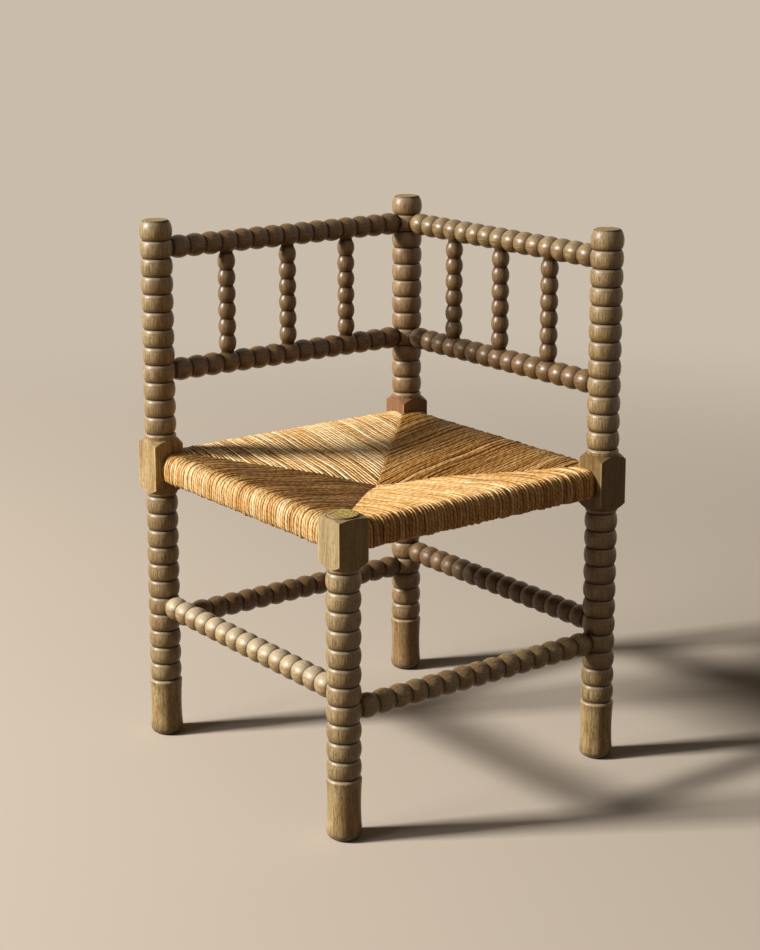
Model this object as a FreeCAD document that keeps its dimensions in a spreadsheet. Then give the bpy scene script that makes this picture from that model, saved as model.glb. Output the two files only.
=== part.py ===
"""Corner chair of turned oak with a woven rush seat, in millimetres.

Four posts stand on the corners of a square. The front one ends at its block under the seat's level,
and the other three carry two beaded back rails a side, joined by turned spindles. +Z is up, the front
leg lies towards -Y and the back post towards +Y. The origin is on the floor under the seat's centre.
Every turned piece is drawn along its own +Z axis and then laid in place.
"""
import FreeCAD, Part
import math
import os
import re
import Sketcher

SIZES = {
    # plan
    "post_spacing": 440.0,
    # posts, from the floor up
    "foot_height": 83.5,
    "foot_flare": 0.4,
    "foot_round": 10.0,
    "foot_waist": 1.5,
    "bead_pitch": 25.0,
    "lower_beads": 11,
    "upper_beads": 11,
    "post_radius": 22.75,
    "post_groove": 3.85,
    "post_shoulder": 4.0,
    "post_drop": 1.3,
    "lower_collar": 6.0,
    "lower_collar_inset": 0.65,
    "block_width": 45.5,
    "block_height": 76.5,
    "block_shoulder": 7.0,
    "block_land": 0.4,
    "upper_collar": 8.0,
    "upper_collar_inset": 0.45,
    "collar_curve": 4.1,
    "cap_height": 28.0,
    "cap_curve": 26.0,
    "cap_shoulder_curve": 8.0,
    "cap_neck_inset": 3.95,
    "cap_disc_inset": 5.55,
    "cap_disc_height": 2.4,
    "cap_disc_round": 0.8,
    # top of the front leg
    "front_block_height": 66.0,
    "front_shoulder": 2.5,
    "button_inset": 2.55,
    "button_height": 2.3,
    "button_round": 1.0,
    # beaded rails and stretchers
    "rail_radius": 16.5,
    "rail_groove": 4.2,
    "rail_shoulder": 4.5,
    "rail_drop": 1.8,
    "rail_beads": 15,
    "tenon_radius": 7.5,
    "tenon_parting": 1.25,
    "socket_sink": 0.4,
    # joints
    "joint_clearance": 0.1,
    "tenon_end_gap": 0.5,
    # heights, as beads counted along the posts
    "high_stretcher_bead": 5,
    "low_stretcher_bead": 4,
    "upper_rail_bead": 1,
    "lower_rail_bead": 8,
    # spindles, at beads counted along the rails
    "spindle_radius": 12.8,
    "spindle_groove": 3.6,
    "spindle_shoulder": 4.0,
    "spindle_drop": 1.6,
    "spindle_beads": 6,
    "spindle_seat": 5.5,
    "spindle_tenon_radius": 6.0,
    "spindle_tenon_depth": 13.0,
    "first_spindle_bead": 4,
    "second_spindle_bead": 8,
    "third_spindle_bead": 12,
    # seat rails, hidden in the rush
    "seat_rail_rise": 37.5,
    "seat_rail_height": 26.0,
    "seat_rail_width": 16.0,
    "seat_rail_round": 5.0,
    # rush seat, measured from the seat rails' axes
    "rush_overhang": 13.3,
    "rush_rise": 20.0,
    "rush_fall": 19.0,
    "rush_round": 10.0,
    "rush_end_round": 8.0,
    "rush_clearance": 0.3,
    "crest_inset": 17.0,
    "swell_inset": 40.0,
    "swell_rise": 17.0,
    "swell_curve": 90.0,
    "panel_inset": 70.0,
    "panel_rise": 10.9,
    "panel_curve": 265.0,
    "hollow_reach": 59.0,
    "hollow_fall": 3.2,
    "pit_reach": 17.0,
    "pit_fall": 15.0,
    "centre_fall": 17.0,
    "underside_inset": 25.0,
    "underside_reach": 20.0,
    "underside_fall": 36.0,
}

# corners of the square, as multiples of its half diagonal
CORNERS = {"front": (0, -1), "right": (1, 0), "back": (0, 1), "left": (-1, 0)}

# sketch planes whose first direction is the body's own +X or +Y, and whose second is its +Z
FACING_X = "XZ_Plane"
FACING_Y = "YZ_Plane"
LEAST_CUT = 1.0
UP = FreeCAD.Vector(0, 0, 1)
DOWN = FreeCAD.Vector(0, 0, -1)
SPINDLE_BEADS = ("first_spindle_bead", "second_spindle_bead", "third_spindle_bead")

# heights and lengths worked out from the sizes
POST_GROOVE = "post_radius - post_groove"
RUN_TOP = "foot_height + lower_beads * bead_pitch"
BLOCK_BOTTOM = f"{RUN_TOP} + lower_collar"
BLOCK_TOP = f"{BLOCK_BOTTOM} + block_height"
UPPER_RUN = f"{BLOCK_TOP} + upper_collar"
CAP_BOTTOM = f"{UPPER_RUN} + upper_beads * bead_pitch"
SEAT_RAIL_AT = f"{BLOCK_BOTTOM} + seat_rail_rise"
HIGH_STRETCHER_AT = "foot_height + (high_stretcher_bead - 0.5) * bead_pitch"
LOW_STRETCHER_AT = "foot_height + (low_stretcher_bead - 0.5) * bead_pitch"
UPPER_RAIL_AT = f"{CAP_BOTTOM} - (upper_rail_bead - 0.5) * bead_pitch"
LOWER_RAIL_AT = f"{CAP_BOTTOM} - (lower_rail_bead - 0.5) * bead_pitch"
RAIL_PITCH = "(post_spacing - 2 * post_radius) / rail_beads"
RAIL_TIP = "(tenon_radius + tenon_parting)"
RAIL_SEAT = "(post_radius - post_groove - socket_sink)"
SPINDLE_GAP = "((lower_rail_bead - upper_rail_bead) * bead_pitch - 2 * rail_radius)"
SPINDLE_PITCH = f"{SPINDLE_GAP} / spindle_beads"

doc = FreeCAD.newDocument("corner_chair")
sheet = doc.addObject("Spreadsheet::Sheet", "sizes")
for row, (word, size) in enumerate(SIZES.items(), start=1):
    sheet.set(f"A{row}", word)
    sheet.set(f"B{row}", str(size))
    sheet.setAlias(f"B{row}", word)
doc.recompute()


def formula(text):
    """The same formula with each size's word pointed at the sheet."""
    return re.sub(r"[a-z_]+", lambda found: f"sizes.{found[0]}" if found[0] in SIZES else found[0], text)


def value(text):
    """What a formula comes to now."""
    result = sheet.evalExpression(formula(text))
    return float(getattr(result, "Value", result))


def new_body(name):
    body = doc.addObject("PartDesign::Body", name)
    body.Label = name
    return body


def place(body, corner, towards, reach, height, rotation):
    """Puts a body at a height, reach along the line from one corner of the square towards another."""
    for axis, start, end in zip("xy", CORNERS[corner], CORNERS[towards]):
        along = f"({start} * post_spacing + ({end - start}) * ({reach})) / sqrt(2)"
        body.setExpression(f".Placement.Base.{axis}", formula(along))
    body.setExpression(".Placement.Base.z", formula(height))
    body.Placement.Rotation = rotation


def new_sketch(body, name, plane, shift_axis="z", shift="0"):
    """An empty sketch on one of the body's own planes, shifted along one of the sketch's axes."""
    sketch = body.newObject("Sketcher::SketchObject", f"{body.Name}_{name}")
    support = next(feature for feature in body.Origin.OriginFeatures if feature.Role == plane)
    sketch.AttachmentSupport = [(support, "")]
    sketch.MapMode = "FlatFace"
    sketch.setExpression(f".AttachmentOffset.Base.{shift_axis}", formula(shift))
    return sketch


def hold(sketch, kind, geometry, point, text):
    """Ties one coordinate of a sketch's point to a formula, or lays it on the other axis."""
    if text == "0":
        other_axis = -2 if kind == "DistanceX" else -1
        sketch.addConstraint(Sketcher.Constraint("PointOnObject", geometry, point, other_axis))
        return
    index = sketch.addConstraint(Sketcher.Constraint(kind, -1, 1, geometry, point, value(text)))
    sketch.setExpression(f"Constraints[{index}]", formula(text))


def arc_between(start, end, radius, hollow):
    """The shorter arc between two points, centred to the left of the way, or to the right if hollow."""
    middle = (start + end) / 2
    chord = end - start
    left = FreeCAD.Vector(-chord.y, chord.x, 0).normalize()
    offset = math.sqrt(max(radius**2 - (chord.Length / 2) ** 2, 0))
    centre = middle + left * (-offset if hollow else offset)
    first, last = (end, start) if hollow else (start, end)
    first_angle = math.atan2(first.y - centre.y, first.x - centre.x)
    last_angle = math.atan2(last.y - centre.y, last.x - centre.x)
    circle = Part.Circle(centre, FreeCAD.Vector(0, 0, 1), radius)
    return Part.ArcOfCircle(circle, first_angle, last_angle)


def outline(sketch, corners):
    """A closed outline, anticlockwise. A corner is (x, y), with an arc's radius and "hollow" after them
    where the side that leaves it is bent outwards or inwards."""
    points = [FreeCAD.Vector(value(corner[0]), value(corner[1]), 0) for corner in corners]
    starts = []
    ends = []
    for number, corner in enumerate(corners):
        here = points[number]
        there = points[(number + 1) % len(points)]
        if len(corner) == 2:
            side = sketch.addGeometry(Part.LineSegment(here, there))
            starts.append((side, 1))
            ends.append((side, 2))
            continue
        hollow = len(corner) == 4
        side = sketch.addGeometry(arc_between(here, there, value(corner[2]), hollow))
        starts.append((side, 2 if hollow else 1))
        ends.append((side, 1 if hollow else 2))
    for number, corner in enumerate(corners):
        sketch.addConstraint(Sketcher.Constraint("Coincident", *ends[number - 1], *starts[number]))
        hold(sketch, "DistanceX", *starts[number], corner[0])
        hold(sketch, "DistanceY", *starts[number], corner[1])
    for number, corner in enumerate(corners):
        if len(corner) > 2:
            side = starts[number][0]
            index = sketch.addConstraint(Sketcher.Constraint("Radius", side, value(corner[2])))
            sketch.setExpression(f"Constraints[{index}]", formula(corner[2]))


def turn(body, name, corners):
    """A turned length of the body, drawn as half its section, radius first and height second."""
    sketch = new_sketch(body, f"{name}_outline", "XZ_Plane")
    outline(sketch, corners)
    solid = body.newObject("PartDesign::Revolution", f"{body.Name}_{name}")
    solid.Profile = sketch
    solid.ReferenceAxis = (sketch, ["V_Axis"])
    solid.Angle = 360
    return solid


def must_cut(body, volume, name):
    """Stops the build when a cut that was just made took nothing away."""
    doc.recompute()
    if body.Shape.Volume > volume - LEAST_CUT:
        raise RuntimeError(f"{name} cuts nothing")


def turned_cut(body, name, sketch, axis):
    """A cut turned about one of the sketch's axes."""
    volume = body.Shape.Volume
    cut = body.newObject("PartDesign::Groove", f"{body.Name}_{name}")
    cut.Profile = sketch
    cut.ReferenceAxis = (sketch, [axis])
    cut.Angle = 360
    must_cut(body, volume, cut.Name)


def pad(body, name, sketch, length, both_ways=False):
    """A straight length of the sketch's outline, to one side of it or to both."""
    solid = body.newObject("PartDesign::Pad", f"{body.Name}_{name}")
    solid.Profile = sketch
    solid.setExpression("Length", formula(length))
    if both_ways:
        solid.SideType = "Symmetric"
    return solid


def bead_run(body, name, start, count, pitch, crown, groove, shoulder, drop):
    """A row of equal turned beads: a crown arc between two rounded shoulders, groove to groove."""
    half = f"({pitch} / 2 - {shoulder})"
    crown_arc = f"({half}^2 + {drop}^2) / (2 * {drop})"
    depth = f"({groove} - {drop})"
    turn_angle = f"(atan({depth} / {shoulder}) - asin({half} / ({crown_arc})))"
    shoulder_arc = f"sqrt({shoulder}^2 + {depth}^2) / (2 * sin({turn_angle}))"
    bead = turn(body, name, [
        ("0", start),
        (f"{crown} - {groove}", start, shoulder_arc),
        (f"{crown} - {drop}", f"{start} + {shoulder}", crown_arc),
        (f"{crown} - {drop}", f"{start} + {pitch} - {shoulder}", shoulder_arc),
        (f"{crown} - {groove}", f"{start} + {pitch}"),
        ("0", f"{start} + {pitch}"),
    ])
    run = body.newObject("PartDesign::LinearPattern", f"{body.Name}_{name}_run")
    run.Originals = [bead]
    run.Direction = (bead.Profile[0], ["V_Axis"])
    run.setExpression("Length", formula(f"({count} - 1) * {pitch}"))
    run.setExpression("Occurrences", formula(count))
    body.Tip = run
    doc.recompute()


def post_beads(body, name, start, count):
    """A row of beads on a post."""
    beads = ("bead_pitch", "post_radius", "post_groove", "post_shoulder", "post_drop")
    bead_run(body, name, start, count, *beads)


def socket(body, name, plane, along, steps):
    """A blind round hole square to the body's axis. Each step is the reach from that axis at which the
    hole's radius begins, and that radius, from the hole's floor outwards."""
    sketch = new_sketch(body, f"{name}_outline", plane, "y", along)
    mouth = "2 * post_radius"
    profile = [(steps[0][0], "0")]
    profile.append((mouth, "0"))
    profile.append((mouth, steps[-1][1]))
    for number in range(len(steps) - 1, -1, -1):
        reach, radius = steps[number]
        profile.append((reach, radius))
        if number:
            profile.append((reach, steps[number - 1][1]))
    outline(sketch, profile)
    turned_cut(body, name, sketch, "H_Axis")


def rail_socket(body, name, plane, height):
    """Socket in a post for a beaded rail: a flat seat for its neck round a deeper hole for its tenon."""
    socket(body, name, plane, height, [
        (f"{RAIL_TIP} - tenon_end_gap", "tenon_radius + joint_clearance"),
        (RAIL_SEAT, "rail_radius - rail_groove + joint_clearance"),
    ])


def seat_rail_socket(body, name, plane):
    """Hole in a block for a seat rail's tenon, whose shoulder bears on the block's face."""
    socket(body, name, plane, SEAT_RAIL_AT, [
        (f"{RAIL_TIP} - tenon_end_gap", "tenon_radius + joint_clearance"),
    ])


def foot(body):
    """Plain foot with a slight waist, rounded over to a flat bottom."""
    radius = "post_radius + foot_flare"
    waist = "(foot_height - post_shoulder - foot_round)"
    turn(body, "foot", [
        ("0", "0"),
        (f"{radius} - foot_round", "0", "foot_round"),
        (radius, "foot_round", f"({waist}^2 / 4 + foot_waist^2) / (2 * foot_waist)", "hollow"),
        (radius, "foot_height - post_shoulder", "collar_curve"),
        (POST_GROOVE, "foot_height"),
        ("0", "foot_height"),
    ])


def square(body, name, half, height):
    """A square outline of a given half width, level at a height."""
    sketch = new_sketch(body, name, "XY_Plane", "z", height)
    far = f"-({half})"
    outline(sketch, [(far, far), (half, far), (half, half), (far, half)])
    return sketch


def shoulder_corners(end, drop, way):
    """The ring turned off a block's corners at one end: way is + above that end and - below it."""
    inner = "(block_width / 2 + block_land)"
    outer = "block_width"
    far = f"{end} {way} {drop} * ({outer} - {inner}) / (block_width * (sqrt(2) - 1) / 2 - block_land)"
    corners = [(inner, end), (outer, end), (outer, far)]
    return corners if way == "+" else [corners[0], corners[2], corners[1]]


def block_shoulders(body, block_top, top_drop):
    """Turned shoulders that run the block's corners off at its two ends."""
    sketch = new_sketch(body, "shoulder_outline", "XZ_Plane")
    outline(sketch, shoulder_corners(BLOCK_BOTTOM, "block_shoulder", "+"))
    outline(sketch, shoulder_corners(block_top, top_drop, "-"))
    turned_cut(body, "shoulders", sketch, "V_Axis")


def lower_post(body, block_height, top_drop):
    """Foot, lower beads, collar and block, which all four posts share."""
    foot(body)
    post_beads(body, "lower_bead", "foot_height", "lower_beads")
    turn(body, "lower_collar", [
        ("0", RUN_TOP),
        (POST_GROOVE, RUN_TOP, "collar_curve"),
        ("post_radius - lower_collar_inset", f"{RUN_TOP} + lower_collar / 2"),
        ("post_radius - lower_collar_inset", BLOCK_BOTTOM),
        ("0", BLOCK_BOTTOM),
    ])
    pad(body, "block", square(body, "block_outline", "block_width / 2", BLOCK_BOTTOM), block_height)
    doc.recompute()
    block_shoulders(body, f"{BLOCK_BOTTOM} + {block_height}", top_drop)


def upper_post(body):
    """Collar, upper beads and cap of the three tall posts."""
    turn(body, "upper_collar", [
        ("0", BLOCK_TOP),
        ("post_radius - upper_collar_inset", BLOCK_TOP),
        ("post_radius - upper_collar_inset", f"{UPPER_RUN} - post_shoulder", "collar_curve"),
        (POST_GROOVE, UPPER_RUN),
        ("0", UPPER_RUN),
    ])
    post_beads(body, "upper_bead", UPPER_RUN, "upper_beads")
    top = f"{CAP_BOTTOM} + cap_height"
    disc_foot = f"{top} - cap_disc_height"
    disc = "post_radius - cap_disc_inset"
    turn(body, "cap", [
        ("0", CAP_BOTTOM),
        (POST_GROOVE, CAP_BOTTOM, "cap_shoulder_curve"),
        ("post_radius - post_drop", f"{CAP_BOTTOM} + post_shoulder", "cap_curve"),
        ("post_radius - cap_neck_inset", f"{disc_foot} + cap_disc_round"),
        (disc, disc_foot),
        (disc, f"{top} - cap_disc_round", "cap_disc_round"),
        (f"{disc} - cap_disc_round", top),
        ("0", top),
    ])
    doc.recompute()


def front_leg_top(body):
    """Flat turned button on the front leg's block."""
    base = f"{BLOCK_BOTTOM} + front_block_height"
    top = f"{base} + button_height"
    radius = "block_width / 2 - button_inset"
    turn(body, "button", [
        ("0", base),
        (radius, base),
        (radius, f"{top} - button_round", "button_round"),
        (f"{radius} - button_round", top),
        ("0", top),
    ])
    doc.recompute()


def make_post(name, corner, turned_by, low_side, rails):
    """One post. Its +X side faces one neighbour and its +Y side the other: low_side says which of the
    two stretchers is the low one, and rails lists the sides that carry back rails."""
    body = new_body(name)
    if rails:
        lower_post(body, "block_height", "block_shoulder")
        upper_post(body)
    else:
        lower_post(body, "front_block_height", "front_shoulder")
        front_leg_top(body)
    for plane in (FACING_X, FACING_Y):
        height = LOW_STRETCHER_AT if plane == low_side else HIGH_STRETCHER_AT
        letter = plane[0].lower()
        rail_socket(body, f"stretcher_socket_{letter}", plane, height)
        seat_rail_socket(body, f"seat_rail_socket_{letter}", plane)
    for plane in rails:
        letter = plane[0].lower()
        rail_socket(body, f"upper_rail_socket_{letter}", plane, UPPER_RAIL_AT)
        rail_socket(body, f"lower_rail_socket_{letter}", plane, LOWER_RAIL_AT)
    place(body, corner, corner, "0", "0", FreeCAD.Rotation(UP, turned_by))
    return body


def lying(corner, towards, side):
    """Rotation that lays a body's +Z from one corner towards another, with its +X on the given side."""
    start = FreeCAD.Vector(*CORNERS[corner], 0)
    end = FreeCAD.Vector(*CORNERS[towards], 0)
    return FreeCAD.Rotation(side, FreeCAD.Vector(), end - start, "ZXY")


def spindle_reach(bead):
    """How far along a rail the crown of a bead lies, from the first post's axis."""
    return f"post_radius + ({bead} - 0.5) * {RAIL_PITCH}"


def beaded_rod(name, tip, seat, first, total, radii, beads):
    """A beaded rod between two axes a total apart: tenons from their tips to their seats, necks from
    there to the first and last bead, and a row of beads between. All four are reached from an axis."""
    tenon, neck = radii
    body = new_body(name)
    turn(body, "spine", [
        ("0", tip),
        (tenon, tip),
        (tenon, seat),
        (neck, seat),
        (neck, first),
        (tenon, first),
        (tenon, f"{total} - {first}"),
        (neck, f"{total} - {first}"),
        (neck, f"{total} - {seat}"),
        (tenon, f"{total} - {seat}"),
        (tenon, f"{total} - {tip}"),
        ("0", f"{total} - {tip}"),
    ])
    bead_run(body, "bead", first, *beads)
    return body


def make_rail(name, corner, towards, height, spindle_side=None):
    """A beaded rail or stretcher from post to post, with sockets on one side for the spindles."""
    neck = "rail_radius - rail_groove"
    beads = ("rail_beads", RAIL_PITCH, "rail_radius", "rail_groove", "rail_shoulder", "rail_drop")
    radii = ("tenon_radius", neck)
    body = beaded_rod(name, RAIL_TIP, RAIL_SEAT, "post_radius", "post_spacing", radii, beads)
    if spindle_side:
        floor = "rail_radius - spindle_tenon_depth - tenon_end_gap"
        steps = [
            (floor, "spindle_tenon_radius + joint_clearance"),
            ("rail_radius - spindle_seat", "spindle_radius - spindle_groove + joint_clearance"),
        ]
        for number, bead in enumerate(SPINDLE_BEADS, start=1):
            socket(body, f"spindle_socket_{number}", FACING_X, spindle_reach(bead), steps)
    place(body, corner, towards, "0", height, lying(corner, towards, spindle_side or UP))
    return body


def make_spindle(name, corner, towards, bead):
    """A turned spindle that stands in sockets between the lower and the upper back rail."""
    total = "(lower_rail_bead - upper_rail_bead) * bead_pitch"
    tip = "(rail_radius - spindle_tenon_depth)"
    seat = "(rail_radius - spindle_seat)"
    radii = ("spindle_tenon_radius", "spindle_radius - spindle_groove")
    section = ("spindle_radius", "spindle_groove", "spindle_shoulder", "spindle_drop")
    beads = ("spindle_beads", SPINDLE_PITCH, *section)
    body = beaded_rod(name, tip, seat, "rail_radius", total, radii, beads)
    place(body, corner, towards, spindle_reach(bead), LOWER_RAIL_AT, FreeCAD.Rotation())
    return body


def make_seat_rail(name, corner, towards):
    """A plain rail with rounded edges, shouldered against the blocks, round tenons at its ends."""
    body = new_body(name)
    core = new_sketch(body, "tenon_outline", "XY_Plane", "z", RAIL_TIP)
    circle = core.addGeometry(Part.Circle(FreeCAD.Vector(), UP, value("tenon_radius")))
    core.addConstraint(Sketcher.Constraint("Coincident", circle, 3, -1, 1))
    size = core.addConstraint(Sketcher.Constraint("Radius", circle, value("tenon_radius")))
    core.setExpression(f"Constraints[{size}]", formula("tenon_radius"))
    pad(body, "tenons", core, f"post_spacing - 2 * {RAIL_TIP}")
    section = new_sketch(body, "section", "XY_Plane", "z", "block_width / 2")
    outline(section, rounded_box("seat_rail_height / 2", "seat_rail_width / 2", "seat_rail_round"))
    pad(body, "rail", section, "post_spacing - block_width")
    doc.recompute()
    place(body, corner, towards, "0", SEAT_RAIL_AT, lying(corner, towards, UP))
    return body


def rounded_box(half_x, half_y, bend, middle_x="0"):
    """Outline of a rectangle with its corners rounded to a radius."""
    left = f"{middle_x} - ({half_x})"
    right = f"{middle_x} + ({half_x})"
    near_left = f"{left} + ({bend})"
    near_right = f"{right} - ({bend})"
    low = f"-({half_y})"
    near_low = f"{low} + ({bend})"
    near_high = f"{half_y} - ({bend})"
    return [
        (near_left, low),
        (near_right, low, bend),
        (right, near_low),
        (right, near_high, bend),
        (near_right, half_y),
        (near_left, half_y, bend),
        (left, near_high),
        (left, near_low, bend),
    ]


def make_rush_seat():
    """The woven envelope as one closed form: four dished panels that meet on the diagonals, wrapped
    round the seat rails and notched for the blocks. Drawn with one side's rail square to +X."""
    body = new_body("rush_seat")
    rail_line = "post_spacing / 2"
    face = f"{rail_line} + rush_overhang"
    end = "post_spacing / 2 - block_width / 2 - rush_clearance"
    section = new_sketch(body, "panel_outline", "XZ_Plane")
    outline(section, [
        ("0", "-rush_fall"),
        (f"{face} - rush_round", "-rush_fall", "rush_round"),
        (face, "rush_round - rush_fall"),
        (face, "rush_rise - rush_round", "rush_round"),
        (f"{face} - rush_round", "rush_rise"),
        (f"{rail_line} - crest_inset", "rush_rise", "swell_curve"),
        (f"{rail_line} - swell_inset", "swell_rise", "panel_curve", "hollow"),
        (f"{rail_line} - panel_inset", "panel_rise"),
        ("hollow_reach", "-hollow_fall"),
        ("pit_reach", "-pit_fall"),
        ("0", "-centre_fall"),
    ])
    outline(section, rounded_box(
        "seat_rail_width / 2 + rush_clearance",
        "seat_rail_height / 2 + rush_clearance",
        "seat_rail_round + rush_clearance",
        rail_line,
    ))
    panel = pad(body, "panel", section, f"2 * ({end})", both_ways=True)
    doc.recompute()
    volume = body.Shape.Volume
    ends = new_sketch(body, "end_outline", "XY_Plane")
    inner = f"{face} - rush_end_round"
    start = f"{end} - rush_end_round"
    beyond = f"{face} + rush_clearance"
    past_end = f"{end} + rush_clearance"
    outline(ends, [
        (face, start),
        (beyond, start),
        (beyond, past_end),
        (inner, past_end),
        (inner, end, "rush_end_round", "hollow"),
    ])
    outline(ends, [
        (face, f"-({start})", "rush_end_round", "hollow"),
        (inner, f"-({end})"),
        (inner, f"-({past_end})"),
        (beyond, f"-({past_end})"),
        (beyond, f"-({start})"),
    ])
    rounding = body.newObject("PartDesign::Pocket", f"{body.Name}_end_rounding")
    rounding.Profile = ends
    rounding.Type = "ThroughAll"
    rounding.SideType = "Symmetric"
    must_cut(body, volume, rounding.Name)
    panels = body.newObject("PartDesign::PolarPattern", f"{body.Name}_panels")
    panels.Originals = [panel, rounding]
    panels.Axis = (ends, ["N_Axis"])
    panels.Angle = 360
    panels.Occurrences = len(CORNERS)
    body.Tip = panels
    doc.recompute()
    belly = body.newObject("PartDesign::AdditiveLoft", f"{body.Name}_belly")
    belly.Profile = square(body, "belly_top", f"{rail_line} - underside_inset", "-rush_fall")
    belly.Sections = [square(body, "belly_bottom", "underside_reach", "-underside_fall")]
    belly.Ruled = True
    doc.recompute()
    place(body, "front", "back", "post_spacing / 2", SEAT_RAIL_AT, FreeCAD.Rotation(UP, 45))
    return body


def write_steps(bodies):
    """Checks every object and writes each body's solid to its own file."""
    doc.recompute()
    for item in doc.Objects:
        if "Invalid" in item.State or "Error" in item.State:
            raise RuntimeError(f"{item.Name} is {item.State}")
    os.makedirs("parts", exist_ok=True)
    for body in bodies:
        shape = body.Shape
        if shape.isNull() or not shape.isValid() or len(shape.Solids) != 1:
            raise RuntimeError(f"{body.Label} is not one valid solid")
        shape.exportStep(f"parts/{body.Label}.step")
        print(body.Label, round(shape.Volume), "mm3")


SIDES = (("front", "left"), ("front", "right"), ("back", "left"), ("back", "right"))
LOW_SIDES = (("front", "right"), ("back", "left"))
bodies = [
    make_post("front_leg", "front", 45, FACING_X, ()),
    make_post("left_post", "left", -45, FACING_Y, (FACING_Y,)),
    make_post("right_post", "right", 135, FACING_Y, (FACING_X,)),
    make_post("back_post", "back", 225, FACING_X, (FACING_X, FACING_Y)),
]
for near, far in SIDES:
    height = LOW_STRETCHER_AT if (near, far) in LOW_SIDES else HIGH_STRETCHER_AT
    bodies.append(make_seat_rail(f"{near}_{far}_seat_rail", far, near))
    bodies.append(make_rail(f"{near}_{far}_stretcher", far, near, height))
for side in ("left", "right"):
    bodies.append(make_rail(f"upper_{side}_back_rail", side, "back", UPPER_RAIL_AT, DOWN))
    bodies.append(make_rail(f"lower_{side}_back_rail", side, "back", LOWER_RAIL_AT, UP))
    for number, bead in enumerate(SPINDLE_BEADS, start=1):
        bodies.append(make_spindle(f"{side}_spindle_{number}", side, "back", bead))
bodies.append(make_rush_seat())
write_steps(bodies)
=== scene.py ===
"""Looks for the corner chair: bobbin-turned oak, a seat woven of rush cords, and a pale studio."""
import math
import random
from typing import NamedTuple
import bmesh
import bpy
from mathutils import Euler, Matrix, Vector


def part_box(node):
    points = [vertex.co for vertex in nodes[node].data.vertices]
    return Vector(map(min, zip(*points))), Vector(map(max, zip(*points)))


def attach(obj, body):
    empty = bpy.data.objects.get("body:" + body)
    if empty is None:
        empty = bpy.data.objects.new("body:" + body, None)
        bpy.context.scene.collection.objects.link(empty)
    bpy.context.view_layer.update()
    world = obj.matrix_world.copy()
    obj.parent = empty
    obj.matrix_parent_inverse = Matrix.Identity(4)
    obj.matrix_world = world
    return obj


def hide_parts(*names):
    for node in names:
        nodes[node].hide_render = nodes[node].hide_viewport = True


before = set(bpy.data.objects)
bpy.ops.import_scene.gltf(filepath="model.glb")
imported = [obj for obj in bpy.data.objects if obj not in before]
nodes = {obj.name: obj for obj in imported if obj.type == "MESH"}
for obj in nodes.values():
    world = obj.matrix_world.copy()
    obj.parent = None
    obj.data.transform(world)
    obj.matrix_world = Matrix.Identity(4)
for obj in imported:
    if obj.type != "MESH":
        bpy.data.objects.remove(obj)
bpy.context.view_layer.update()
MM = 0.001


# shader tools

def paint(red, green, blue):
    """A colour as a painter reads it off a chart, from 0 to 255, made ready for a shader."""
    def straight(part):
        part = part / 255
        return part / 12.92 if part <= 0.04045 else ((part + 0.055) / 1.055) ** 2.4
    return (straight(red), straight(green), straight(blue), 1.0)


class Reading:
    """A number that changes over a surface. Arithmetic on it adds Math nodes."""

    def __init__(self, finish, socket):
        self.finish = finish
        self.socket = socket

    def worked(self, operation, first, second):
        sockets = {0: first, 1: second}
        return self.finish.reading("ShaderNodeMath", {"operation": operation}, sockets)

    def __add__(self, other):
        return self.worked("ADD", self, other)

    def __sub__(self, other):
        return self.worked("SUBTRACT", self, other)

    def __rsub__(self, other):
        return self.worked("SUBTRACT", other, self)

    def __mul__(self, other):
        return self.worked("MULTIPLY", self, other)

    def __pow__(self, other):
        return self.worked("POWER", self, other)

    __radd__ = __add__
    __rmul__ = __mul__


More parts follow.
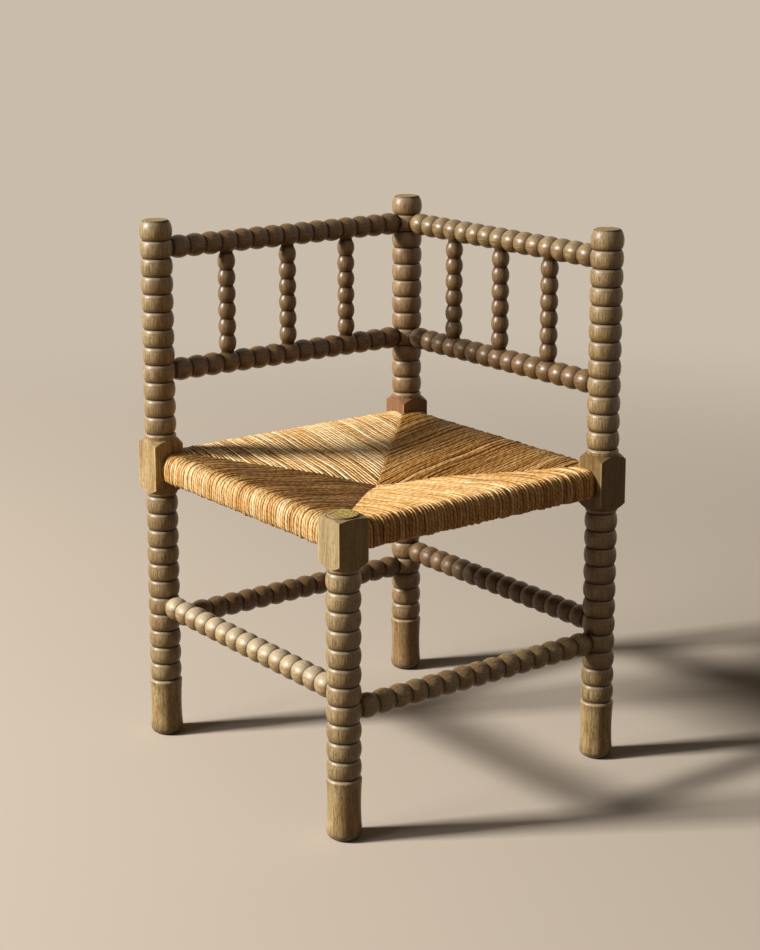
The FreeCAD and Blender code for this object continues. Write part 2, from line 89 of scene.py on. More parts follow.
class Finish:
    """The shader nodes of a material, or of the world round the chair."""

    def __init__(self, owner):
        self.owner = owner
        owner.use_nodes = True
        self.tree = owner.node_tree
        self.tree.nodes.clear()

    def node(self, kind, settings=None, sockets=None):
        """Adds a node, sets it up, then gives its sockets their values or links."""
        made = self.tree.nodes.new(kind)
        for name, value in (settings or {}).items():
            if name == "stops":
                ramp = made.color_ramp.elements
                while len(ramp) < len(value):
                    ramp.new(1.0)
                for stop, (place, colour) in zip(ramp, value):
                    stop.position = place
                    stop.color = colour
            else:
                setattr(made, name, value)
        for name, value in (sockets or {}).items():
            value = getattr(value, "socket", value)
            if isinstance(value, bpy.types.NodeSocket):
                self.tree.links.new(value, made.inputs[name])
            else:
                made.inputs[name].default_value = value
        return made

    def reading(self, kind, settings=None, sockets=None, output=0):
        return Reading(self, self.node(kind, settings, sockets).outputs[output])

    def vectors(self, operation, first, second):
        sockets = {0: first, 1: second}
        return self.node("ShaderNodeVectorMath", {"operation": operation}, sockets).outputs[0]

    def stretched(self, place, amounts):
        """The place, with each direction's pattern packed by its amount per metre."""
        return self.vectors("MULTIPLY", place, amounts)

    def moved(self, place, amounts):
        return self.vectors("ADD", place, amounts)

    def mottle(self, place, detail=2.0, roughness=0.5, scale=1.0, lot=0.0):
        """Cloudy noise at a place. Each lot has its own pattern."""
        sockets = {"Vector": place, "W": lot, "Scale": scale, "Detail": detail,
                   "Roughness": roughness}
        return self.reading("ShaderNodeTexNoise", {"noise_dimensions": "4D"}, sockets)

    def mask(self, value, low, high, start=0.0, end=1.0):
        """Runs smoothly from start, where the value is low, to end, where it is high."""
        sockets = {"Value": value, "From Min": low, "From Max": high, "To Min": start,
                   "To Max": end}
        return self.reading("ShaderNodeMapRange", {"interpolation_type": "SMOOTHSTEP"}, sockets)

    def mixed(self, share, first, second):
        """Two colours, mixed by the share of the second."""
        sockets = {0: share, 6: first, 7: second}
        return self.node("ShaderNodeMix", {"data_type": "RGBA"}, sockets).outputs[2]

    def layered(self, colour, layers):
        """A colour with others laid over it in turn, each by its share."""
        for share, over in layers:
            colour = self.mixed(share, colour, over)
        return colour

    def parts(self, place):
        found = self.node("ShaderNodeSeparateXYZ", {}, {0: place}).outputs
        return [Reading(self, socket) for socket in found]

    def bumps(self, relief, strength, depth):
        sockets = {"Height": relief, "Strength": strength, "Distance": depth}
        return self.node("ShaderNodeBump", {}, sockets).outputs[0]

    def close(self, sockets, steady):
        """Ends a material in its shader. Steady values are the same all over the surface."""
        shader = self.node("ShaderNodeBsdfPrincipled", {}, {**steady, **sockets})
        self.node("ShaderNodeOutputMaterial", {}, {"Surface": shader.outputs[0]})
        return self.owner


# oak

PALE_OAK = paint(198, 172, 122)
BROWN_OAK = paint(154, 123, 78)
OLIVE_OAK = paint(106, 78, 34)
# dark grain, and the painted shade on the down-facing halves of beads
DARK_GRAIN_AND_SHADE = paint(80, 56, 25)
# painted sheen with some dust, for the up-facing halves of beads
PALE_SHEEN_AND_DUST = paint(222, 210, 184)
PORE = paint(48, 31, 13)
# grime, and the painted shade in the grooves
GRIME_AND_SHADE = paint(38, 25, 11)
WORN_OAK = paint(204, 184, 142)
WORN_EDGE = paint(206, 184, 126)
END_GRAIN = paint(214, 188, 104)
RED_BROWN = paint(126, 82, 56)
DARK_STAIN = paint(84, 56, 22)
BROWN_STAIN = paint(88, 56, 30)
GREY_STAIN = paint(146, 132, 102)

# the patterns of the grain, per metre along, across and through a stick
CLOUDS = (9, 60, 60)
STREAKS = (26, 420, 420)
FLECKS = (110, 1150, 1150)
SPECKS = (700, 900, 900)
RINGS = (4, 70, 150)
END_DOTS = (60, 700, 260)
SAWN_STREAKS = (14, 300, 300)
SAWN_FLECKS = (90, 1000, 1000)

# how far apart in the log two sticks are cut, in metres, and how deep their grain is
LOG_STEP = (0.37, 0.013, 0.021)
SAWN_LOG_STEP = (0.41, 0.0, 0.0)
GRAIN_DEPTH = 0.35 * MM
SAWN_DEPTH = 0.3 * MM

# grime and painted shade on a bead, measured out from the groove's radius, and wear, measured in from
# the crown's
GRIME_AND_SHADE_OUT = (0.1 * MM, 1.3 * MM)
WORN_IN = (1.4 * MM, 0.2 * MM)
SHOULDER_OUT = 0.8 * MM
SHOULDER_IN = 0.4 * MM
UNEVEN = 0.8 * MM

# places on a post: heights above the floor, radii, and distances from its top end or its rim
BLOCK_BOTTOM = 364.5 * MM
BLOCK_TOP = 441 * MM
BLOCK_FADE = 2 * MM
BLOCK_CORNER = (1.34, 1.41)
CORNER_WANDER = 2 * MM
FOOT_TOP = 80 * MM
FOOT_FADE = 14 * MM
SCUFF = (7 * MM, 24 * MM)
SCUFF_WANDER = 20 * MM
CAP_RADIUS = 17.2 * MM
BUTTON_RADIUS = 20.2 * MM
CLEAN_END = (6 * MM, 5 * MM)
END_SKIN = (1.6 * MM, 0.8 * MM)
RIM_IN = (2 * MM, 1 * MM)
SEAM_DOWN = (3.6 * MM, 2.6 * MM)
SEAM_INSIDE = 0.3 * MM
SEAM_OUTSIDE = (0.8 * MM, 1.6 * MM)


class Stick(NamedTuple):
    """A kind of turned stick: the radius on a bead's crown and in its groove, and its age as
    shares from 0 to 1: grime and painted shade in the grooves, old olive wax, dusty paleness with a
    painted sheen on top, and a dull coat."""
    crown: float
    groove: float
    groove_grime_and_shade: float
    age: float
    sheen_and_dust: float
    dull: float


class Stain(NamedTuple):
    """A tint and its share on a post's block and on the rest of the stick."""
    tint: tuple
    on_block: float
    elsewhere: float


STICKS = {
    "post": Stick(22.75 * MM, 18.9 * MM, groove_grime_and_shade=0.9, age=0.6, sheen_and_dust=0.22, dull=0.42),
    "leg": Stick(22.75 * MM, 18.9 * MM, groove_grime_and_shade=0.9, age=0.58, sheen_and_dust=0.24, dull=0.42),
    "rail": Stick(16.5 * MM, 12.3 * MM, groove_grime_and_shade=0.8, age=0.8, sheen_and_dust=0.0, dull=0.36),
    "stretcher": Stick(16.5 * MM, 12.3 * MM, groove_grime_and_shade=0.7, age=0.74, sheen_and_dust=0.0, dull=0.46),
    "spindle": Stick(12.8 * MM, 9.2 * MM, groove_grime_and_shade=0.8, age=0.76, sheen_and_dust=0.0, dull=0.36),
}
# sticks paler than their kind, and the share of painted sheen with dust on each
BLEACHED_AND_SHEEN = {
    "front_left_stretcher": {"age": 0.42, "sheen_and_dust": 0.36},
    "front_right_stretcher": {"age": 0.7, "sheen_and_dust": 0.03},
    "upper_right_back_rail": {"age": 0.74, "sheen_and_dust": 0.08},
    "lower_right_back_rail": {"age": 0.76, "sheen_and_dust": 0.02},
}
STAINS = {
    "back_post": Stain(RED_BROWN, 0.5, 0.24),
    "right_post": Stain(DARK_STAIN, 0.62, 0.0),
    "front_leg": Stain(GREY_STAIN, 0.4, 0.0),
    "upper_right_back_rail": Stain(DARK_STAIN, 0.0, 0.14),
}
BACK_STAIN = Stain(BROWN_STAIN, 0.0, 0.44)
UNSTAINED = ("left_post", "front_left_stretcher", "front_right_stretcher")


def laid_along(finish, node):
    """Object coordinates turned so that X runs along a stick and its own axis is at Y = Z = 0."""
    low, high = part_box(node)
    middle = (low + high) / 2
    upright = high.z - low.z > high.x - low.x
    heading = math.atan2(middle.y, middle.x) + math.pi / 2
    turn = Euler((0, math.pi / 2, 0) if upright else (0, 0, -heading))
    place = -(turn.to_matrix() @ middle)
    start = finish.node("ShaderNodeTexCoord").outputs["Object"]
    sockets = {"Vector": start, "Location": place, "Rotation": turn}
    return finish.node("ShaderNodeMapping", {"vector_type": "POINT"}, sockets).outputs[0]


def in_the_log(finish, place, step, number):
    """The place in a log from which stick after stick is cut, so that no two have one grain."""
    return finish.moved(place, tuple(part * number for part in step))


def post_zones(finish, node, along):
    """Where a post is block and where it is foot, and how far its ends are from its middle."""
    low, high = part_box(node)
    middle = (low.z + high.z) / 2
    half = (high.z - low.z) / 2
    bottom = BLOCK_BOTTOM - middle
    top = BLOCK_TOP - middle
    block = finish.mask(along, bottom - BLOCK_FADE, bottom)
    block = block * finish.mask(along, top, top + BLOCK_FADE, 1.0, 0.0)
    foot = finish.mask(along, FOOT_TOP - half - FOOT_FADE, FOOT_TOP - half, 1.0, 0.0)
    return block, foot, half


def sawn_end(finish, along, radius, facing, half, rim):
    """The flat end grain on top of a post, inside its turned rim."""
    skin = finish.mask(along, *(half - down for down in END_SKIN))
    inside = finish.mask(radius, *(rim - inward for inward in RIM_IN), 1.0, 0.0)
    return finish.mask(facing, 0.8, 0.95) * skin * inside


def seam_round_end(finish, along, radius, half, rim):
    """The dark line where the turned end meets what is below it."""
    level = finish.mask(along, *(half - down for down in SEAM_DOWN))
    inner = finish.mask(radius, rim, rim + SEAM_INSIDE)
    outer = finish.mask(radius, *(rim + outward for outward in SEAM_OUTSIDE), 1.0, 0.0)
    return level * inner * outer


def turned_oak(node, stick, stain, number):
    """Weathered oak turned as beads, waxed on its crowns, with grime and painted shade in its
    grooves, darker with painted shade where a bead faces down, and paler, dusty and with a painted
    sheen where it faces up."""
    finish = Finish(bpy.data.materials.new(f"oak_{node}"))
    place = laid_along(finish, node)
    along, across, through = finish.parts(place)
    radius = (across * across + through * through) ** 0.5
    facing = finish.parts(finish.node("ShaderNodeNewGeometry").outputs["Normal"])[2]
    wood = in_the_log(finish, place, LOG_STEP, number)
    cloud = finish.mottle(finish.stretched(wood, CLOUDS), 3.0)
    streak = finish.mottle(finish.stretched(wood, STREAKS), 3.0, 0.6)
    fleck = finish.mottle(finish.stretched(wood, FLECKS), 2.0, 0.6)
    speck = finish.mottle(finish.stretched(wood, SPECKS), 2.0)
    ring_sockets = {"Vector": finish.stretched(wood, RINGS), "Scale": 1.0, "Distortion": 3.0,
                    "Detail": 2.0, "Detail Scale": 1.2}
    ring = finish.reading("ShaderNodeTexWave", {"bands_direction": "Z"}, ring_sockets, 1)

    crown, groove = stick.crown, stick.groove
    shoulder = finish.mask(radius, groove + SHOULDER_OUT, crown - SHOULDER_IN, 1.0, 0.0)
    pores = finish.mask(fleck + shoulder * 0.09, 0.54, 0.62)
    worn = finish.mask(radius + (cloud - 0.5) * UNEVEN, *(crown - inward for inward in WORN_IN))
    # grime and painted shade: darker towards each groove
    grime_and_shade = finish.mask(radius + (speck - 0.5) * UNEVEN, *(groove + outward for outward in GRIME_AND_SHADE_OUT),
                        stick.groove_grime_and_shade, 0.0)
    is_post = node == "front_leg" or node.endswith("post")
    block, foot, half = post_zones(finish, node, along) if is_post else (0.0, 0.0, 0.0)
    beaded = 1 - block - foot * 0.55
    waxed = (1 - grime_and_shade) * (0.12 + beaded * 0.58)
    layers = [
        (beaded * stick.age + block * 0.14, OLIVE_OAK),
        (finish.mask(streak, 0.45, 0.75) * 0.6, DARK_GRAIN_AND_SHADE),
        (ring * 0.2, DARK_GRAIN_AND_SHADE),
        (worn * finish.mask(streak, 0.62, 0.3) * 0.4, WORN_OAK),
        (pores * (0.3 + cloud * 0.6), PORE),
    ]
    if stain:
        layers.append((block * stain.on_block + stain.elsewhere, stain.tint))
    layers += [
        # painted shade: darker where a bead faces down
        (finish.mask(facing, 0.0, -0.6) * beaded * 0.4, DARK_GRAIN_AND_SHADE),
        # painted sheen with some dust: paler where a bead faces up
        (finish.mask(facing + (streak - 0.5) * 0.4, 0.1, 0.6) * beaded * stick.sheen_and_dust, PALE_SHEEN_AND_DUST),
    ]
    if is_post:
        rim, bare = (BUTTON_RADIUS, 0.9) if node == "front_leg" else (CAP_RADIUS, 0.35)
        grime_and_shade = grime_and_shade * finish.mask(along, *(half - down for down in CLEAN_END), 1.0, 0.0)
        sawn = sawn_end(finish, along, radius, facing, half, rim)
        waxed = waxed * (1 - sawn)
        dots = finish.mask(finish.mottle(finish.stretched(wood, END_DOTS), 2.0), 0.44, 0.6)
        corner = finish.mask(radius + (cloud - 0.5) * CORNER_WANDER,
                             *(crown * share for share in BLOCK_CORNER))
        seam = seam_round_end(finish, along, radius, half, rim)
        scuff = finish.mask(along + (cloud - 0.5) * SCUFF_WANDER, *(level - half for level in SCUFF),
                            0.35, 0.0)
        layers += [
            (corner * 0.6, WORN_EDGE),
            (sawn * bare, finish.mixed(dots, END_GRAIN, DARK_GRAIN_AND_SHADE)),
            (scuff + seam * 0.7, GRIME_AND_SHADE),
        ]
    layers.append((grime_and_shade, GRIME_AND_SHADE))

    colour = finish.layered(finish.mixed(finish.mask(cloud, 0.3, 0.7), BROWN_OAK, PALE_OAK), layers)
    relief = (1 - pores) * 0.5 + streak * 0.3 + speck * 0.12
    return finish.close({
        "Base Color": colour,
        "Roughness": 0.38 + pores * 0.16 + grime_and_shade * 0.3 + speck * 0.1,
        "Coat Weight": waxed,
        "Normal": finish.bumps(relief, 0.5, GRAIN_DEPTH),
    }, {"Coat Roughness": stick.dull, "Specular IOR Level": 0.2})


def sawn_oak(node, number):
    """Sawn and rounded wood that the rush hides."""
    finish = Finish(bpy.data.materials.new(f"plain_{node}"))
    wood = in_the_log(finish, laid_along(finish, node), SAWN_LOG_STEP, number)
    streak = finish.mottle(finish.stretched(wood, SAWN_STREAKS), 3.0, 0.6)
    fleck = finish.mottle(finish.stretched(wood, SAWN_FLECKS), 2.0, 0.6)
    colour = finish.mixed(finish.mask(streak, 0.35, 0.7), PALE_OAK, BROWN_OAK)
    return finish.close({
        "Base Color": finish.mixed(finish.mask(fleck, 0.55, 0.66) * 0.5, colour, PORE),
        "Roughness": 0.6 + fleck * 0.2,
        "Normal": finish.bumps(streak + fleck * 0.5, 0.4, SAWN_DEPTH),
    }, {})


def dress_wood():
    """Gives every wooden stick its own piece of oak."""
    for number, (name, piece) in enumerate(sorted(nodes.items())):
        if name == "rush_seat":
            continue
        if name.endswith("seat_rail"):
            oak = sawn_oak(name, number)
        else:
            stick = next(kind for word, kind in STICKS.items() if word in name)
            stick = stick._replace(**BLEACHED_AND_SHEEN.get(name, {}))
            stain = None if name in UNSTAINED else STAINS.get(name, BACK_STAIN)
            oak = turned_oak(name, stick, stain, number)
        piece.data.materials.clear()
        piece.data.materials.append(oak)


# rush seat

STRAW = [(0.0, paint(64, 38, 9)), (0.25, paint(124, 79, 22)), (0.5, paint(182, 131, 62)),
         (0.75, paint(220, 180, 116)), (1.0, paint(240, 217, 176))]
DARK_STRAW = paint(96, 58, 16)
# painted shade in the crevices between cords
CREVICE_SHADE_STRAW = paint(48, 28, 7)
# the stuffing's colours are painted shade from the cords over it
DEEP_SHADE_CHAFF = paint(38, 23, 9)
SHADE_CHAFF = paint(76, 49, 22)

# the stuffing's pattern, per metre, and how deep that and a cord's leaves are
CHAFF = (240, 240, 500)
CHAFF_DEPTH = 1 * MM
LEAF_DEPTH = 0.6 * MM

# a cord's pattern along its length, per metre, and round it
LEAF_TWIST = 210
PATCHES = 34.0
FIBRES = 70.0
FIBRES_ROUND = 1.7

# a cord, and where it runs: FACE is how far the seat's side is from the chair's middle
CORD = 2.6 * MM
SNUG = 0.96
CORD_SIDES = 8
CORDS_A_SIDE = 76
CORDS_END = 196.95 * MM
FACE = 233.3 * MM
END_ROUND = 8 * MM
END_TUCK = 0.8
POINT_STEP = 20 * MM
UNDER_STEP = 45 * MM
TOP_STEP = 16 * MM
CREST_IN = 20 * MM
MITRE_OUT = 5 * MM
UNDER_OUT = 2 * MM
UNDER_IN = 9 * MM
TONE_TURN = 8 * MM
WELD = 0.01 * MM

# the seat's top and underside, as (outward, up) in millimetres
TOP_LINE = [(0, 385), (17, 387), (59, 398.8), (100, 406), (150, 412.9), (180, 419), (203, 422),
            (240, 422)]
UNDER_LINE = [(0, 366), (20, 366), (195, 383), (240, 383)]

# round the rail, as (inward from the face, up) in millimetres, then how far a proud cord's share
# lifts it and pushes it out there
ROUND_THE_RAIL = [(1.5, 384.1, -1, 1), (0, 390, 0, 0.5), (0, 398, 0, 0.5), (0.4, 407, 0, 0.5),
                  (3.5, 415, 0.5, 0.5), (11, 419.7, 1, 0)]

# how far a cord strays sideways and up, stands proud of the rest, and swells along its length,
# and how thick it is for its place
SWAY = 0.8 * MM
LIFT = 0.7 * MM
PROUD = 0.35 * MM
SWELL = 0.1
THICKNESS = (0.92, 1.03)

# the waves in which it strays, as (share, radians per metre), and where each may start
WAVES = ((0.6, (20, 45)), (0.4, (60, 110)))
ANY_START = (0, 6.3)

# how far the stuffing lies below the top line, and in millimetres its edge and closing points
STUFFING_SKIN = 3.2 * MM
STUFFING_EDGE = 195.5
STUFFING_CLOSE = [(195.5, 418), (195.5, 387), (20, 369.5), (0, 369.5)]


class Ending(NamedTuple):
    """How cords end at the mitre. A cord passes it by an overlap drawn between the two given, if
    any, in millimetres. Its last points are (share of the overlap, further in, down, share of the
    thickness)."""
    overlap: tuple
    points: tuple


ENDINGS = {
    "under": Ending((), ((0, 1, 2.5, 1), (0, 7, 7.5, 1), (0, 11, 10, 1))),
    "fingers": Ending((3, 6.5), ((0.4, 0, 0.4, 0.95), (1, 0, 3, 0.85), (1, 0.8, 9, 0.6))),
    "over": Ending((2.5, 4), ((0.5, 0, 0, 1), (1, 0.5, 1.5, 1), (1, 0.8, 9, 0.85))),
}


class Side(NamedTuple):
    """One side of the seat: the bearing of its face in degrees, how its cords end at the mitre
    before and after its middle, and its straw. Tones run from 0, brown, to 1, pale gold. A side's top
    and side tones are painted light: paler where light falls on that part, browner where it is
    shaded.
    The side's tone turns into the top's at a distance in from the face, and single cords differ by
    the spread. On top the cords are slimmed to a share of their thickness, and the crevice shade is
    how dark the painted shade in the crevices between them is."""
    bearing: float
    endings: tuple
    top_tone_and_light: float
    side_tone_and_light: float
    turns_at: float
    spread: float
    slimmed: float
    crevice_shade: float


# each side's top and side tones are painted light, and its crevice shade is painted shade
SIDES = {
    "rush_front_left": Side(225, ("under", "under"), top_tone_and_light=0.48, side_tone_and_light=0.73,
                            turns_at=15 * MM, spread=0.11, slimmed=0.97, crevice_shade=0.92),
    "rush_front_right": Side(315, ("over", "over"), top_tone_and_light=0.67, side_tone_and_light=0.63,
                             turns_at=4.5 * MM, spread=0.13, slimmed=0.88, crevice_shade=0.82),
    "rush_back_right": Side(45, ("under", "over"), top_tone_and_light=0.52, side_tone_and_light=0.50,
                            turns_at=4.5 * MM, spread=0.11, slimmed=0.95, crevice_shade=1.0),
    "rush_back_left": Side(135, ("under", "fingers"), top_tone_and_light=0.72, side_tone_and_light=0.56,
                           turns_at=4.5 * MM, spread=0.13, slimmed=0.62, crevice_shade=0.84),
}
SEED = 100


def rush_cord_finish():
    """Rush leaves twisted into a cord: straw from brown to pale gold, with each side's painted light,
    and painted shade where two cords meet.
    """
    finish = Finish(bpy.data.materials.new("rush_cord"))
    weave = finish.node("ShaderNodeAttribute", {"attribute_name": "weave"}).outputs["Vector"]
    tone, lot, crevice = finish.parts(weave)
    strip = finish.node("ShaderNodeUVMap", {"uv_map": "UVMap"}).outputs[0]
    run, round_it, _ = finish.parts(strip)
    long = finish.node("ShaderNodeCombineXYZ", {}, {0: run * PATCHES})
    patch = finish.mottle(long.outputs[0], 2.0, 0.6, 1.0, lot * 70)
    angle = round_it * (2 * math.pi) + run * LEAF_TWIST + patch * 9 + lot * 40
    sine = finish.reading("ShaderNodeMath", {"operation": "SINE"}, {0: angle})
    cosine = finish.reading("ShaderNodeMath", {"operation": "COSINE"}, {0: angle})
    leaf = finish.reading("ShaderNodeMath", {"operation": "ABSOLUTE"}, {0: sine})
    wound = finish.node("ShaderNodeCombineXYZ", {}, {
        0: run * FIBRES, 1: sine * FIBRES_ROUND, 2: cosine * FIBRES_ROUND})
    fibre = finish.mottle(wound.outputs[0], 3.0, 0.65, 1.4, lot * 90)
    level = tone + (fibre - 0.5) * 0.7 + (patch - 0.5) * 0.5 + (leaf - 0.64) * 0.16
    straw = finish.node("ShaderNodeValToRGB", {"stops": STRAW}, {0: level}).outputs[0]
    # the dark lines between leaves, then the painted shade in the crevices between cords
    layers = [(finish.mask(leaf, 0.34, 0.06) * 0.42, DARK_STRAW),
              (finish.mask(crevice, 0.66, 1.04) * 0.7, CREVICE_SHADE_STRAW)]
    return finish.close({
        "Base Color": finish.layered(straw, layers),
        "Roughness": 0.34 + fibre * 0.2,
        "Normal": finish.bumps(leaf * 0.7 + fibre, 0.6, LEAF_DEPTH),
    }, {"Specular IOR Level": 0.42})


def stuffing_finish():
    """Broken rush packed between the two layers of cords, coloured dark brown as painted shade from
    the cords over it.
    """
    finish = Finish(bpy.data.materials.new("rush_stuffing"))
    place = finish.node("ShaderNodeTexCoord").outputs["Object"]
    chaff = finish.mottle(finish.stretched(place, CHAFF), 3.0, 0.6)
    return finish.close({
        "Base Color": finish.mixed(finish.mask(chaff, 0.35, 0.7), DEEP_SHADE_CHAFF, SHADE_CHAFF),
        "Roughness": 0.8 + chaff * 0.1,
        "Normal": finish.bumps(chaff, 0.6, CHAFF_DEPTH),
    }, {})


def height(line, out):
    """The height of one of the seat's lines, at a distance outward."""
    out = max(out / MM, 0)
    for (near, low), (far, high) in zip(line, line[1:]):
        if out <= far:
            return (low + (high - low) * (out - near) / (far - near)) * MM
    return line[-1][1] * MM


def waver(chance, size):
    """A slow, uneven drift along a cord."""
    waves = [(size * part, chance.uniform(*ANY_START), chance.uniform(*pace)) for part, pace in WAVES]
    return lambda run: sum(reach * math.sin(start + run * pace) for reach, start, pace in waves)


def cord_route(side_place, chance, ending, slimmed):
    """One cord's route as (along the rail, outward, up, thickness): from the mitre under the seat,
    out and up round the rail, and in over the top to the mitre, where it dives."""
    reach = abs(side_place)
    past = min(max(0.0, reach - (CORDS_END - END_ROUND)), END_ROUND)
    face = FACE - CORD - (END_ROUND - math.sqrt(END_ROUND ** 2 - past ** 2)) * END_TUCK
    sway = waver(chance, SWAY)
    lift = waver(chance, LIFT)
    swell = waver(chance, SWELL)
    proud = chance.gauss(0, PROUD)
    thick = chance.uniform(*THICKNESS)
    points = []

    def put(out, up, slim=SNUG, raised=0.0, pushed=0.0):
        run = len(points) * POINT_STEP
        moved = lift(run) + proud
        points.append((side_place + sway(run), out + pushed * moved, up + raised * moved,
                       slim * thick * (1 + swell(run))))

    def put_between(start, end, step, line, above, slim, raised):
        steps = max(1, round(step))
        for count in range(steps + 1):
            out = start + (end - start) * count / steps
            put(out, height(line, out) + above, slim, raised)

    under = height(UNDER_LINE, reach) + CORD
    put(reach - 4 * MM, under + 9 * MM)
    put(reach - 2 * MM, under + 3 * MM)
    start, end = reach + UNDER_OUT, face - UNDER_IN
    put_between(start, end, (FACE - 12 * MM - reach) / UNDER_STEP, UNDER_LINE, CORD, SNUG, -1)
    for inward, up, raised, pushed in ROUND_THE_RAIL:
        put(face - inward * MM, up * MM, raised=raised, pushed=pushed)
    start, end = face - CREST_IN, reach + MITRE_OUT
    put_between(start, end, (start - end) / TOP_STEP, TOP_LINE, -CORD, slimmed, 1)
    top = height(TOP_LINE, reach) - CORD
    overlap = chance.uniform(*ending.overlap) if ending.overlap else 0
    for share, further, down, thin in ending.points:
        put(reach - (overlap * share + further) * MM, top - down * MM, slimmed * thin)
    return points


def bent_cord(route, outward, sideways):
    """A cord's tube along its route, as a mesh."""
    line = bpy.data.curves.new("cord", "CURVE")
    line.dimensions = "3D"
    line.bevel_depth = CORD
    line.bevel_resolution = 2
    line.use_fill_caps = True
    spline = line.splines.new("NURBS")
    spline.points.add(len(route) - 1)
    for point, (along, out, up, thick) in zip(spline.points, route):
        place = outward * out + sideways * along
        point.co = (place.x, place.y, up, 1)
        point.radius = thick
    spline.order_u = 4
    spline.use_endpoint_u = True
    spline.resolution_u = 2
    holder = bpy.data.objects.new("cord", line)
    bpy.context.scene.collection.objects.link(holder)
    bpy.context.view_layer.update()
    tube = bpy.data.meshes.new_from_object(holder)
    bpy.data.objects.remove(holder)
    bpy.data.curves.remove(line)
    return tube


def mark_cord(corners, weave, side, outward, sideways, chance):
    """Notes on each ring of a cord's tube its tone with the side's painted light, its cord's lot, and
    how far down the crevice beside the next cord each corner lies, which sets the painted shade
    there."""
    own = chance.gauss(0, side.spread)
    lot = chance.random()
    for start in range(0, len(corners) - CORD_SIDES + 1, CORD_SIDES):
        ring = corners[start:start + CORD_SIDES]
        middle = sum((corner.co for corner in ring), Vector()) / CORD_SIDES
        out = middle.dot(outward)
        on_top = middle.z > height(TOP_LINE, out) - 2.5 * CORD
        # the side's painted light: its side tone turns into its top tone in from the face
        over = (FACE - side.turns_at - out) / TONE_TURN if on_top else 0
        tone = own + side.side_tone_and_light + (side.top_tone_and_light - side.side_tone_and_light) * min(max(over, 0), 1)
        for corner in ring:
            away = corner.co - middle
            # how far into the crevice a corner lies sets its painted shade
            crevice = abs(away.dot(sideways)) / max(away.length, WELD)
            corner[weave] = (tone, lot, side.crevice_shade * crevice)


def weave_side(name, side, number):
    """The cords of one side of the seat, side by side along its rail."""
    chance = random.Random(SEED + number)
    bearing = math.radians(side.bearing)
    outward = Vector((math.cos(bearing), math.sin(bearing), 0))
    sideways = Vector((-math.sin(bearing), math.cos(bearing), 0))
    cloth = bmesh.new()
    weave = cloth.verts.layers.float_vector.new("weave")
    first = -CORDS_END + CORD
    gap = -2 * first / (CORDS_A_SIDE - 1)
    for count in range(CORDS_A_SIDE):
        place = first + gap * count
        ending = ENDINGS[side.endings[0] if place < 0 else side.endings[1]]
        route = cord_route(place, chance, ending, side.slimmed)
        length = sum(math.dist(a[:3], b[:3]) for a, b in zip(route, route[1:]))
        tube = bent_cord(route, outward, sideways)
        known = len(cloth.verts)
        cloth.from_mesh(tube)
        bpy.data.meshes.remove(tube)
        cloth.verts.ensure_lookup_table()
        fresh = cloth.verts[known:]
        mark_cord(fresh, weave, side, outward, sideways, chance)
        strip = cloth.loops.layers.uv.active
        for face in {face for corner in fresh for face in corner.link_faces}:
            for loop in face.loops:
                loop[strip].uv.x *= length
    for face in cloth.faces:
        face.smooth = True
    seat_piece(name, cloth, cord_finish)


def pack_stuffing():
    """The stuffing between the layers: one outline turned through four corners."""
    lined = [(out * MM, up * MM - STUFFING_SKIN) for out, up in TOP_LINE if out < STUFFING_EDGE]
    lined += [(out * MM, up * MM) for out, up in STUFFING_CLOSE]
    shape = bmesh.new()
    corners = [shape.verts.new((out * math.sqrt(2), 0, up)) for out, up in lined]
    edges = [shape.edges.new(pair) for pair in zip(corners, corners[1:])]
    bmesh.ops.spin(shape, geom=corners + edges, axis=(0, 0, 1), cent=(0, 0, 0),
                   angle=2 * math.pi, steps=4, use_merge=True)
    seat_piece("seat_stuffing", shape, stuffing_finish())


def seat_piece(name, shape, material):
    """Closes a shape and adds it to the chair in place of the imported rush."""
    bmesh.ops.remove_doubles(shape, verts=shape.verts, dist=WELD)
    bmesh.ops.recalc_face_normals(shape, faces=shape.faces)
    mesh = bpy.data.meshes.new(name)
    shape.to_mesh(mesh)
    shape.free()
    mesh.materials.append(material)
    piece = bpy.data.objects.new(name, mesh)
    bpy.context.scene.collection.objects.link(piece)
    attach(piece, "root")
    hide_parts("rush_seat")


# studio

FLOOR = paint(104, 78, 46)
PALE_FLOOR = paint(206, 195, 181)
BACKDROP = paint(202, 188, 170)
ROOM_COLOUR = (1.0, 0.84, 0.66, 1.0)
ROOM_LIGHT = 0.062
FLOOR_RADIUS = 7.0
FLOOR_CORNERS = 96
FLOOR_FADE = (0.9, 3.2)


class Lamp(NamedTuple):
    """An area lamp: its place, what it points at and its size in metres, and its watts."""
    place: tuple
    aim: tuple
    watts: float
    size: tuple
    colour: tuple


LAMPS = {
    "key": Lamp((-6.7, -2.4, 3.8), (0, 0, 0.35), 1040, (1.2, 0.9), (1.0, 0.95, 0.88)),
    "window": Lamp((-5.9, -3.5, 4.2), (0, 0, 0.4), 160, (4.0, 1.2), (1.0, 0.97, 0.94)),
    "fill": Lamp((2.6, -2.4, 1.7), (0, 0, 0.4), 1.5, (2.0, 2.0), (1.0, 0.84, 0.68)),
}

# the photograph's camera, found from the beads' places in the photograph
FRAME_HEIGHT_PIXELS = 950
FOCAL_PIXELS = 1998
SENSOR = 36
LENS_SHIFT = -0.12
CAMERA_PLACE = (0.3787, -2.6741, 1.1354)
CAMERA_ROUND = math.radians(8.006)
CAMERA_DOWN = math.radians(12.003)
SIGHT_END = 100


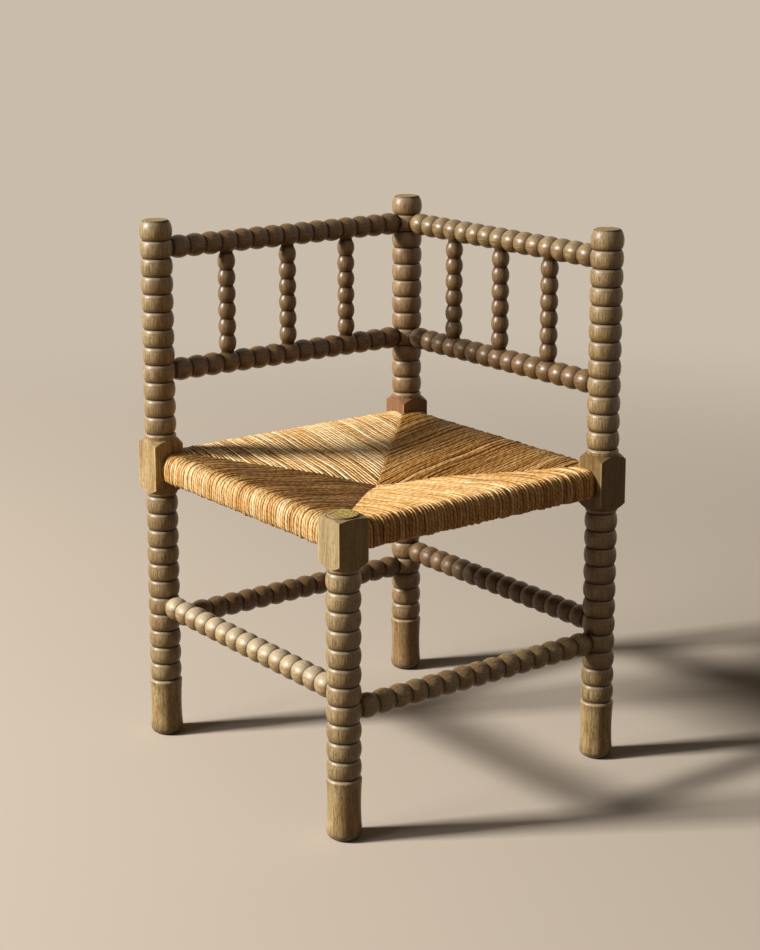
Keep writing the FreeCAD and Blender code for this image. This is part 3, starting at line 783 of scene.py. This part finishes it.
def rays_that_look(finish):
    """1 for the camera's rays and for those that a glossy or clear surface sends on."""
    rays = finish.node("ShaderNodeLightPath").outputs
    camera, glossy, clear = (Reading(finish, rays[name]) for name in (
        "Is Camera Ray", "Is Glossy Ray", "Is Transmission Ray"))
    seen = camera.worked("MAXIMUM", camera, glossy)
    return seen.worked("MAXIMUM", seen, clear)


def shared(finish, share, first, second):
    """Two shaders, mixed by the share of the second."""
    sockets = {0: share, 1: first.outputs[0], 2: second.outputs[0]}
    return finish.node("ShaderNodeMixShader", {}, sockets)


def floor_finish():
    """A plain floor, pale where it is looked at, that fades into the backdrop far from the chair."""
    finish = Finish(bpy.data.materials.new("pale_floor"))
    place = finish.node("ShaderNodeTexCoord").outputs["Object"]
    far = finish.reading("ShaderNodeVectorMath", {"operation": "LENGTH"}, {0: place}, 1)
    boards = finish.node("ShaderNodeBsdfDiffuse", {}, {"Color": FLOOR})
    pale = finish.node("ShaderNodeBsdfDiffuse", {}, {"Color": PALE_FLOOR})
    clear = finish.node("ShaderNodeBsdfTransparent")
    lit = shared(finish, rays_that_look(finish), boards, pale)
    both = shared(finish, finish.mask(far, *FLOOR_FADE), lit, clear)
    finish.node("ShaderNodeOutputMaterial", {}, {"Surface": both.outputs[0]})
    return finish.owner


def lay_floor():
    shape = bmesh.new()
    bmesh.ops.create_circle(shape, cap_ends=True, segments=FLOOR_CORNERS, radius=FLOOR_RADIUS)
    mesh = bpy.data.meshes.new("floor")
    shape.to_mesh(mesh)
    shape.free()
    mesh.materials.append(floor_finish())
    floor = bpy.data.objects.new("floor", mesh)
    bpy.context.scene.collection.objects.link(floor)


def surround():
    """Even light from all round, and a plain pale backdrop where it is looked at."""
    world = bpy.data.worlds.new("studio")
    bpy.context.scene.world = world
    finish = Finish(world)
    sockets = {"Color": ROOM_COLOUR, "Strength": ROOM_LIGHT}
    room = finish.node("ShaderNodeBackground", {}, sockets)
    backdrop = finish.node("ShaderNodeBackground", {}, {"Color": BACKDROP})
    both = shared(finish, rays_that_look(finish), room, backdrop)
    finish.node("ShaderNodeOutputWorld", {}, {"Surface": both.outputs[0]})


def hang_lamp(name, lamp):
    light = bpy.data.lights.new(name, "AREA")
    light.shape = "RECTANGLE"
    light.size, light.size_y = lamp.size
    light.energy = lamp.watts
    light.color = lamp.colour
    holder = bpy.data.objects.new(name, light)
    bpy.context.scene.collection.objects.link(holder)
    way = Vector(lamp.aim) - Vector(lamp.place)
    turn = way.to_track_quat("-Z", "Y").to_matrix().to_4x4()
    holder.matrix_world = Matrix.Translation(lamp.place) @ turn


def stand_camera():
    """Stands the camera where the photograph was taken from, with a slight lens shift."""
    camera = bpy.data.cameras.new("camera")
    camera.sensor_width = SENSOR
    camera.lens = FOCAL_PIXELS * SENSOR / FRAME_HEIGHT_PIXELS
    camera.shift_y = LENS_SHIFT
    camera.clip_end = SIGHT_END
    holder = bpy.data.objects.new("camera", camera)
    turn = Matrix.Rotation(CAMERA_ROUND, 4, "Z") @ Matrix.Rotation(math.pi / 2 - CAMERA_DOWN, 4, "X")
    holder.matrix_world = Matrix.Translation(CAMERA_PLACE) @ turn
    bpy.context.scene.collection.objects.link(holder)
    bpy.context.scene.camera = holder


stand_camera()
dress_wood()
cord_finish = rush_cord_finish()
for number, (name, side) in enumerate(SIDES.items()):
    weave_side(name, side, number)
pack_stuffing()
surround()
lay_floor()
for name, lamp in LAMPS.items():
    hang_lamp(name, lamp)
bpy.context.scene.view_settings.view_transform = "Standard"
bpy.context.view_layer.update()
